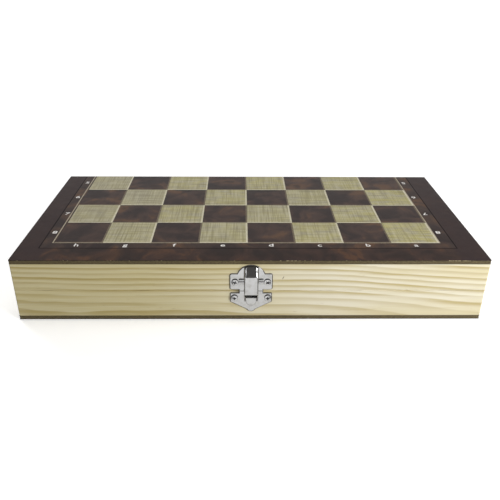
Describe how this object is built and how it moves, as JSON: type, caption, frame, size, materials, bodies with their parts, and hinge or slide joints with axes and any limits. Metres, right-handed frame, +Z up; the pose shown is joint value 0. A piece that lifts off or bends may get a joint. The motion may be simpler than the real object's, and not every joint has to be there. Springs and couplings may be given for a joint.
{
  "type": "folding board game box",
  "caption": "Flat folding wooden games box: pine rails, printed fibreboard panels, butt hinges at the back and a sprung nickel latch at the front.",
  "frame": {"origin": "centre of the flat underside, on the surface that the box rests on", "axes": "+X along the box's length, -Y towards the latch, +Z up through the closed box"},
  "size_m": [0.29, 0.1516, 0.042],
  "materials": {
    "outer_print": "satin",
    "inner_print": "satin",
    "fibreboard": "matte",
    "pine": "satin",
    "nickel": "polished",
    "spring_steel": "satin"
  },
  "bodies": {
    "lower_half": {"lower_outer_print": "outer_print", "lower_board_panel": "fibreboard", "lower_inner_print": "inner_print", "lower_front_rail": "pine", "lower_back_rail": "pine", "lower_left_rail": "pine", "lower_right_rail": "pine", "hinge_left_lower_leaf": "nickel", "hinge_left_pin": "nickel", "hinge_right_lower_leaf": "nickel", "hinge_right_pin": "nickel", "hinge_lower_screws": "nickel", "latch_lower_plate": "nickel", "latch_lower_screws": "nickel"},
    "upper_half": {"upper_outer_print": "outer_print", "upper_board_panel": "fibreboard", "upper_inner_print": "inner_print", "upper_front_rail": "pine", "upper_back_rail": "pine", "upper_left_rail": "pine", "upper_right_rail": "pine", "hinge_left_upper_leaf": "nickel", "hinge_right_upper_leaf": "nickel", "hinge_upper_screws": "nickel", "latch_upper_plate": "nickel", "latch_pin": "nickel", "latch_spring": "spring_steel", "latch_upper_screws": "nickel"},
    "latch_lever": {"latch_lever": "nickel"}
  },
  "joints": [
    {"name": "lid_hinge", "type": "hinge", "parent": "lower_half", "child": "upper_half", "pos_m": [0, 0.07265, 0.021], "axis": [-1, 0, 0], "range_deg": [0, 180]},
    {"name": "lever_hinge", "type": "hinge", "parent": "upper_half", "child": "latch_lever", "pos_m": [0, -0.0739, 0.0279], "axis": [-1, 0, 0], "range_deg": [0, 8], "stiffness_Nm_per_rad": 0.05, "springref_deg": -8.59, "deforming": ["latch_spring"]}
  ]
}
